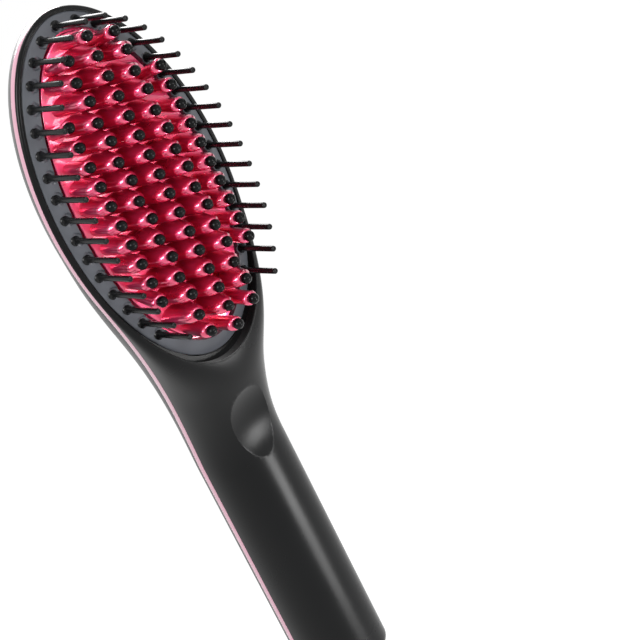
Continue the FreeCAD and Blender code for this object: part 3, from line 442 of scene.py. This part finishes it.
# moulded shells, the panel in the back one and the tools that cut them
shell = {"cut": 1.54, "rim": 1.8, "seat": 1.9, "tongue": 3.9, "reach": 70.0, "bowl": 0.2}
panel = {"start": 135.5, "end": 203.0, "half": 11.3, "topArch": 6.5, "footArch": 9.0, "gap": 0.3, "sunk": 0.25,
         "thick": 1.2, "recessStart": 155.6, "recessEnd": 181.6, "recessHalf": 7.5, "powerAt": 191.0,
         "powerRadius": 7.1, "displayAt": 148.0, "wide": 15.4, "high": 12.0, "dividerAt": 168.2}
glass = {"hole": (16.7, 13.3), "film": (16.4, 13.0), "opening": (15.6, 12.2), "ink": (15.3, 11.9),
         "inkOpening": (14.1, 10.7)}
cutter = {"low": -60.0, "high": -20.0, "bore": 6.06, "boreStart": 262.0, "boreEnd": 290.0}
scoop = {"at": 166.0, "long": 24.0, "across": 60.0, "depth": 2.3, "wall": 1.6}


def stationsOf(inset):
    tip = inset + 0.02 + 40.0 * np.linspace(0.0, 1.0, 44) ** 2
    last = brush["handleEnd"] - inset - brush["endRound"]
    end = last + brush["endRound"] * np.sin(np.linspace(0.1, math.pi / 2, 12))
    return np.concatenate([tip, np.linspace(tip[-1] + 1.5, last, 150), end])


def crossPoints(a, inset, side, cut, count):
    # Bezier quarters from seam to crown and down again; cut leaves out the first stretch beside the seam
    depth = backDepth(a, inset) if side < 0 else frontDepth(a, inset)
    power = np.full(a.shape, brush["backPower"])
    if side > 0:
        power = ease(brush["rimPower"], brush["gripPower"], a, brush["lipStart"], brush["lipEnd"])
    reach = (8.0 * 2.0 ** (-1.0 / power) - 4.0) / 3.0
    near = ease(brush["domeHandle"], reach, a, 72.0, 112.0) if side < 0 else reach  # dome leaves the seam inward
    least, most = np.zeros_like(a), np.ones_like(a)
    for _ in range(24):
        t = (least + most) / 2
        above = depth * (3 * (1 - t) ** 2 * t * near + 3 * (1 - t) * t ** 2 + t ** 3) > np.minimum(cut, depth * 0.6)
        least, most = np.where(above, least, t), np.where(above, t, most)
    start = least if cut > 0 else np.zeros_like(a)
    s = np.linspace(-1.0, 1.0, count)
    fine = 1.0 - np.abs(s)
    t = start[:, None] + (1.0 - start[:, None]) * (0.5 * fine + 0.5 * fine ** 1.6)[None, :]
    r, d, wide = reach[:, None], depth[:, None], halfWidth(a, inset)[:, None]
    w = np.sign(s) * wide * ((1 - t) ** 3 + 3 * (1 - t) ** 2 * t + 3 * (1 - t) * t ** 2 * r)
    n = seamRise(a)[:, None] + side * d * (3 * (1 - t) ** 2 * t * near[:, None] + 3 * (1 - t) * t ** 2 + t ** 3)
    return place(a[:, None], w, n)


def halfSolid(inset, side, cut):
    return {"points": crossPoints(stationsOf(inset), inset, side, cut, 105), "first": True, "last": True}


def wholeSolid(inset):
    a = stationsOf(inset)
    front, rear = crossPoints(a, inset, 1, 0, 57), crossPoints(a, inset, -1, 0, 73)
    return {"points": np.concatenate([front, rear[:, -2:0:-1]], 1), "first": True, "last": True}


def prism(outline, low, high):
    # closed outline in the plan carried up through the heights
    a, w = outline
    return {"points": place(a[None, :], w[None, :], np.array([[low], [high]])), "first": True, "last": True}


def eggPrism(inset, low, high):
    turn = np.linspace(0, 2 * math.pi, 360, endpoint=False)
    return prism(eggOutline(inset, shell["reach"], turn), low, high)


def capsule(start, end, half, topArch, footArch):
    # straight sides with a half ellipse at either end
    t = np.linspace(0, math.pi, 48)
    a = np.concatenate([start + topArch - topArch * np.sin(t), end - footArch + footArch * np.sin(t)])
    return a, np.concatenate([-half * np.cos(t), half * np.cos(t)])


def circle(at, radius):
    t = np.linspace(0, 2 * math.pi, 96, endpoint=False)
    return at + radius * np.cos(t), radius * np.sin(t)


def rawSolid(name, sheet):
    return joinSheets(name, [sheet], None, None)


def backTool(name, outline):
    # tool that reaches straight through the back
    return rawSolid(name, prism(outline, cutter["low"], cutter["high"]))


def carve(thing, steps):
    # boolean steps in order, then the cutters go
    for kind, cutter in steps:
        change = thing.modifiers.new("cut", "BOOLEAN")
        change.operation, change.solver, change.object = kind, "EXACT", cutter
    graph = bpy.context.evaluated_depsgraph_get()
    mesh = bpy.data.meshes.new_from_object(thing.evaluated_get(graph))
    thing.modifiers.clear()
    thing.data = mesh
    for kind, cutter in steps:
        bpy.data.objects.remove(cutter)
    print("carved", thing.name, len(mesh.polygons))
    return thing


def dress(thing, name, body, material, stands, sharp=30):
    # a carved solid becomes a piece
    thing.name = thing.data.name = name
    thing.data.materials.clear()
    thing.data.materials.append(material)
    thing.data.polygons.foreach_set("use_smooth", np.ones(len(thing.data.polygons), bool))
    thing.data.set_sharp_from_angle(angle=math.radians(sharp))
    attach(thing, body)
    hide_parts(*stands)
    return thing


def glandBore(name):
    # bore of the handle's end wall, along the brush
    turn = np.linspace(0, 2 * math.pi, 72, endpoint=False)
    a = np.array([[cutter["boreStart"]], [cutter["boreEnd"]]])
    middle = seamRise(brush["length"]) + (brush["handleFront"] - brush["handleBack"]) / 2
    w, n = cutter["bore"] * np.cos(turn), middle + cutter["bore"] * np.sin(turn)
    return rawSolid(name, {"points": place(a, w, n), "first": True, "last": True})


def onDisplay(across, along, deep):
    # point parallel to the housing's back at the display
    at = panel["displayAt"]
    height = [seamRise(at + d) - backDepth(at + d) for d in (-1.0, 0.0, 1.0)]
    slope = float(height[2] - height[0]) / 2
    size = math.hypot(1.0, slope)
    return place(at + (along - deep * slope) / size, across, float(height[1]) + (along * slope + deep) / size)


def displayBox(wide, high, outer, thick, corner=0.4):
    # rounded plate parallel to the back, as two rims of one outline
    t = np.linspace(0, 2 * math.pi, 64, endpoint=False) + math.pi / 64
    x = np.sign(np.cos(t)) * (wide / 2 - corner) + corner * np.cos(t)
    y = np.sign(np.sin(t)) * (high / 2 - corner) + corner * np.sin(t)
    return {"points": onDisplay(x[None, :], y[None, :], np.array([[outer], [outer + thick]])), "first": True,
            "last": True}


def panelOutline(grow):
    return capsule(panel["start"] - grow, panel["end"] + grow, panel["half"] + grow, panel["topArch"] + grow,
                   panel["footArch"] + grow)


def recessOutline(inset):
    half = panel["recessHalf"] - inset
    return capsule(panel["recessStart"] + inset, panel["recessEnd"] - inset, half, half, half)


pocket = carve(backTool("pocket", panelOutline(panel["gap"])),
               [("DIFFERENCE", rawSolid("below", wholeSolid(panel["sunk"] + panel["thick"])))])
cover = carve(rawSolid("cover", halfSolid(0.0, -1, shell["cut"])),
              [("DIFFERENCE", rawSolid("hollow", wholeSolid(brush["wall"]))),
               ("DIFFERENCE", pocket),
               ("DIFFERENCE", rawSolid("glassHole", displayBox(*glass["hole"], 0.0, 12.0))),
               ("DIFFERENCE", backTool("recessHole", recessOutline(-0.1))),
               ("DIFFERENCE", backTool("powerHole", circle(panel["powerAt"], 7.2))),
               ("DIFFERENCE", glandBore("bore"))])
dress(cover, "backShell", "brush", softTouchAbs, ["back_cover"])


def barrel(name, depth, length):
    # barrel lying across the grip, its arc sunk into the front by the depth
    radius = (length ** 2 / 4 + depth ** 2) / (2 * depth)
    height = [float(seamRise(a) + frontDepth(a)) for a in (scoop["at"] - 1.0, scoop["at"], scoop["at"] + 1.0)]
    slope = (height[2] - height[0]) / 2
    out = (radius - depth) / math.hypot(1.0, slope)
    w = np.concatenate([[-20.0], np.linspace(-15.0, 15.0, 41), [20.0]])[:, None]
    turn = np.linspace(0, 2 * math.pi, 240, endpoint=False)[None, :]
    own = radius - w ** 2 / (2 * scoop["across"])
    return rawSolid(name, {"points": place(scoop["at"] - slope * out + own * np.sin(turn), w,
                                           height[1] + out - own * np.cos(turn)), "first": True, "last": True})


hollow = carve(rawSolid("hollow", wholeSolid(brush["wall"])),
               [("DIFFERENCE", rawSolid("bowl", eggPrism(shell["bowl"], -5, 40)))])
lining = carve(rawSolid("lining", wholeSolid(0.3)),
               [("INTERSECT", barrel("lined", scoop["depth"] + scoop["wall"], scoop["long"] + 3 * scoop["wall"]))])
front = carve(rawSolid("front", halfSolid(0.0, 1, shell["cut"])),
              [("DIFFERENCE", hollow), ("UNION", lining),
               ("DIFFERENCE", rawSolid("opening", eggPrism(shell["rim"], shell["seat"], 50))),
               ("DIFFERENCE", rawSolid("through", eggPrism(shell["tongue"], -36, 51))),
               ("DIFFERENCE", barrel("scoop", scoop["depth"], scoop["long"])),
               ("DIFFERENCE", glandBore("bore"))])
dress(front, "frontShell", "brush", satinAbs, ["front_shell"])

# accent strip all round the seam, its section as insets and rises
stripMap = [(0.5, -1.5), (0.14, -1.5), (0.03, -1.34), (0.0, -0.6), (0.0, 0.6), (0.03, 1.34), (0.14, 1.5),
            (0.5, 1.5), (2.0, 1.5), (2.0, -1.5)]


def seamLoop(inset, rise):
    # outline at the seam, moved in by the inset, down one side and up the other
    t = np.linspace(0.02, math.pi / 2, 60)
    tip = brush["widest"] - (brush["widest"] - inset) * np.cos(t)
    corner = brush["handleEnd"] - inset - brush["endRound"]
    end = corner + brush["endRound"] * np.sin(np.linspace(0.1, math.pi / 2, 14))
    a = np.concatenate([tip, np.linspace(70, 275.8 - inset, 150), end])
    w = halfWidth(a, inset)
    return place(np.concatenate([a, a[::-1]]), np.concatenate([w, -w[::-1]]),
                 np.concatenate([seamRise(a), seamRise(a)[::-1]]) + rise)


strip = rawSolid("strip", {"points": np.stack([seamLoop(*row) for row in stripMap]), "loop": True})
strip = carve(strip, [("DIFFERENCE", glandBore("bore"))])
dress(strip, "seamStrip", "brush", pinkAbs, ["seam_trim"], 60)

# controls on the back
plate = carve(backTool("panel", panelOutline(0.0)),
              [("INTERSECT", rawSolid("skin", wholeSolid(panel["sunk"]))),
               ("DIFFERENCE", rawSolid("under", wholeSolid(panel["sunk"] + panel["thick"]))),
               ("DIFFERENCE", backTool("recess", recessOutline(0.0))),
               ("DIFFERENCE", backTool("power", circle(panel["powerAt"], panel["powerRadius"]))),
               ("DIFFERENCE", rawSolid("glass", displayBox(*glass["opening"], -4.0, 12.0)))])
dress(plate, "controlPanel", "brush", gunmetalLacquer, ["control_panel"])
print("panel ready")

button = {"start": 156.9, "end": 180.3, "half": 6.2, "split": 1.0, "sunk": 0.35, "under": -32.6, "post": 1.7,
          "postEnd": -28.8, "plusAt": 162.05, "minusAt": 174.75, "powerRadius": 5.9, "round": 0.28, "sign": 0.25}


def slab(a0, a1, w0, w1, low=-60.0, high=0.0):
    # straight block between stations, across and through the heights
    return rawSolid("slab", prism((np.array([a0, a1, a1, a0]), np.array([w0, w0, w1, w1])), low, high))


def softEdges(thing, width):
    # the sharp edges rounded over a small width
    change = thing.modifiers.new("soft", "BEVEL")
    change.width, change.segments, change.limit_method = width / 1000.0, 3, "ANGLE"
    change.angle_limit, change.harden_normals = math.radians(50), False
    thing.data = bpy.data.meshes.new_from_object(thing.evaluated_get(bpy.context.evaluated_depsgraph_get()))
    thing.modifiers.clear()
    return thing


def ringMark(a, outer, inner):
    # ring with a gap on the head's side, open by 1.8 mm
    t = np.linspace(math.radians(204), math.radians(516), 48)
    along = np.concatenate([a + outer * np.cos(t), a + inner * np.cos(t[::-1])])
    return rawSolid("ring", prism((along, np.concatenate([outer * np.sin(t), inner * np.sin(t[::-1])])), -60, 0))


def buttonCap(name, outline, postAt, marks):
    # cap that follows the housing's back, on its post, with the sign sunk in
    cap = carve(rawSolid("cap", prism(outline, -60, button["under"])),
                [("INTERSECT", rawSolid("skin", wholeSolid(button["sunk"])))])
    cap = softEdges(cap, button["round"])
    sunk = []
    for mark in marks:
        deep = rawSolid("deep", wholeSolid(button["sunk"] + button["sign"]))
        sunk.append(("DIFFERENCE", carve(mark, [("DIFFERENCE", deep)])))
    post = rawSolid("post", prism(circle(postAt, button["post"]), button["under"] - 0.2, button["postEnd"]))
    carve(cap, [("UNION", post)] + sunk)
    return dress(cap, name + "Button", name, buttonAbs, [name + "_button"])


def halfRocker(side):
    # outline of one half of the rocker: its arch and the straight edge beside the divider
    t = np.linspace(0, math.pi, 48)
    if side < 0:
        a, edge = button["start"] + button["half"] * (1 - np.sin(t)), panel["dividerAt"] - button["split"]
    else:
        a, edge = button["end"] - button["half"] * (1 - np.sin(t)), panel["dividerAt"] + button["split"]
    w = button["half"] * np.cos(t)
    return np.concatenate([a, [edge, edge]]), np.concatenate([w, [-button["half"], button["half"]]])


at = button["plusAt"]
buttonCap("plus", halfRocker(-1), at, [slab(at - 2.2, at + 2.2, -0.28, 0.28), slab(at - 0.28, at + 0.28, -2.2, 2.2)])
at = button["minusAt"]
buttonCap("minus", halfRocker(1), at, [slab(at - 0.28, at + 0.28, -2.0, 2.0)])
at = panel["powerAt"]
buttonCap("power", circle(at, button["powerRadius"]), at,
          [ringMark(at, 2.2, 1.7), slab(at - 2.6, at - 0.3, -0.25, 0.25)])
print("buttons ready")

# display: a lit film behind its window, with a reading in bars; each bar has its place and 1 if it stands
reading = {"width": 1.8, "height": 3.6, "bar": 0.38, "gap": 0.08, "slant": 0.1, "deep": (2.22, 2.29),
           "figures": (("bcfg", -3.75, 0.0, 1.0), ("acdfg", -1.2, 0.0, 1.0), ("abcdef", 1.35, 0.0, 1.0),
                       ("aefg", 3.95, 0.5, 0.72))}
bars = {"a": (0, 1.0, 0), "b": (0.5, 0.5, 1), "c": (0.5, -0.5, 1), "d": (0, -1.0, 0), "e": (-0.5, -0.5, 1),
        "f": (-0.5, 0.5, 1), "g": (0, 0, 0)}
# film seen through the window: blue that pales toward the handle
litFilm = bpy.data.materials.new("litFilm")
litFilm.use_nodes = True
tree = litFilm.node_tree
tree.nodes.clear()
where = addNode(tree, "TexCoord")
axes = addNode(tree, "SeparateXYZ", {}, [(0, where, "Object")])
fade = addNode(tree, "MapRange", {1: 0.128, 2: 0.14}, [(0, axes, "Z")])
cells = addNode(tree, "TexNoise", {"Scale": 900.0, "Detail": 1.0}, [("Vector", where, "Object")])
tint = addNode(tree, "MixRGB", {1: linear("#2f93e4"), 2: linear("#2848ac")}, [(0, fade, 0)])
rough = addNode(tree, "MapRange", {3: 0.16, 4: 0.24}, [(0, cells, 0)])
surface = addNode(tree, "BsdfPrincipled", {"Emission Strength": 0.55, "IOR": 1.5},
                  [("Base Color", tint, 0), ("Emission Color", tint, 0), ("Roughness", rough, 0)])
addNode(tree, "OutputMaterial", {}, [("Surface", surface, 0)])
# lit bars of the reading: pale cyan
litBars = finish("litBars", "#c9ecff", "#dcf4ff", (0.3, 0.03), (0.6, 0.0005), 6,
                 shader={"Emission Color": linear("#c9ecff"), "Emission Strength": 0.7})
# clear acrylic of the window: almost unseen but for its edge
clearAcrylic = finish("clearAcrylic", "#f2f6fb", "#eef3f9", (0.05, 0.01), (2.0, 0.0002), 15,
                      shader={"Transmission Weight": 1.0, "IOR": 1.49})
# black ink printed behind the window's edge: a dark border round the glow
blackInk = finish("blackInk", "#08080a", "#0c0c0e", (0.3, 0.03), (0.3, 0.0005), 6)


def barSheet():
    # every bar is a long hexagon; a figure's bars stand at halves of its width and height, leaning by the slant
    rows = [(bars[key], across, up, size) for keys, across, up, size in reading["figures"] for key in keys]
    middle = np.array([(x * reading["width"] * k + c, y * reading["height"] / 2 * k + v)
                       for (x, y, stands), c, v, k in rows])
    stands = np.array([row[0][2] for row in rows])[:, None]
    size = np.array([row[3] for row in rows])[:, None]
    half = np.where(stands == 1, reading["height"] / 4, reading["width"] / 2) * size - reading["gap"]
    thin = reading["bar"] / 2 * size
    long = np.stack([-half, thin - half, half - thin, half, half - thin, thin - half], -1)[:, 0]
    side = np.stack([0 * thin, thin, thin, 0 * thin, -thin, -thin], -1)[:, 0]
    x = middle[:, :1] + np.where(stands == 1, side, long)
    y = middle[:, 1:] + np.where(stands == 1, long, side)
    deep = np.array(reading["deep"])[None, :, None]
    return {"points": onDisplay(-(x + reading["slant"] * y)[:, None, :], -y[:, None, :], deep), "first": True,
            "last": True}


def frameSheet(outer, inner, low, high):
    # rounded frame between two outlines, as four rims that close round
    rims = [displayBox(*outer, low, high - low)["points"], displayBox(*inner, low, high - low)["points"]]
    return {"points": np.stack([rims[0][0], rims[0][1], rims[1][1], rims[1][0]]), "loop": True}


joinSheets("lcdFilm", [displayBox(*glass["film"], 2.3, 1.6)], "brush", litFilm, ["lcd_glass"])
joinSheets("lcdReading", [barSheet()], "brush", litBars)
joinSheets("inkBorder", [frameSheet(glass["ink"], glass["inkOpening"], 2.2, 2.28)], "brush", blackInk)
windowPane = softEdges(rawSolid("pane", displayBox(panel["wide"], panel["high"], 1.1, 1.2)), 0.25)
dress(windowPane, "displayPane", "brush", clearAcrylic, ["display_window"])
print("display ready")

# rolled lip along the head's opening
lip = {"inset": 1.35, "radius": 0.5, "sunk": 0.42}


def frontAt(a, w):
    # height of the front at stations a and distances w: the section's curve is solved for its parameter
    power = ease(brush["rimPower"], brush["gripPower"], a, brush["lipStart"], brush["lipEnd"])
    r = (8.0 * 2.0 ** (-1.0 / power) - 4.0) / 3.0
    least, most, wide = np.zeros_like(a), np.ones_like(a), halfWidth(a)
    for _ in range(30):
        t = (least + most) / 2
        past = wide * ((1 - t) ** 3 + 3 * (1 - t) ** 2 * t + 3 * (1 - t) * t ** 2 * r) < np.abs(w)
        least, most = np.where(past, least, t), np.where(past, t, most)
    t = (least + most) / 2
    return seamRise(a) + frontDepth(a) * (3 * (1 - t) ** 2 * t * r + 3 * (1 - t) * t ** 2 + t ** 3)


def lipSheet():
    # small circle carried round the opening's edge, just under the skin
    t = np.linspace(0, 2 * math.pi, 420, endpoint=False)
    a, w = eggOutline(lip["inset"], shell["reach"], t)
    height = frontAt(a, w) - lip["sunk"]
    turn = np.linspace(0, 2 * math.pi, 14, endpoint=False)[:, None]
    a, w = eggOutline(lip["inset"] + lip["radius"] * np.cos(turn), shell["reach"], t[None, :])
    return {"points": place(a, w, height[None, :] + lip["radius"] * np.sin(turn)), "loop": True}


joinSheets("openingLip", [lipSheet()], "brush", satinAbs)

# screws of the control board: threaded shanks that end inside their posts
boardScrew = {"a": (134.2, 232.8), "w": 7.8, "seat": -23.0, "tip": -27.9, "radius": 1.1, "root": 0.85, "head": 2.1}
turns = np.linspace(boardScrew["tip"] + 0.6, boardScrew["seat"], 23)
ridges = np.where(np.arange(23) % 2 == 0, boardScrew["root"], boardScrew["radius"])
screwProfile = [(0.3, boardScrew["tip"]), (0.75, boardScrew["tip"] + 0.35)] + list(zip(ridges, turns)) + [
    (boardScrew["head"], boardScrew["seat"]), (boardScrew["head"], -22.35), (1.85, -21.95), (1.2, -21.72),
    (0.9, -21.7), (boardScrew["root"], -22.2)]
screwA, screwW = np.meshgrid(boardScrew["a"], (-boardScrew["w"], boardScrew["w"]))
joinSheets("boardScrews", [turned(screwProfile, 16, screwA.ravel(), screwW.ravel())], "brush", zincSteel,
           ["board_screws"])
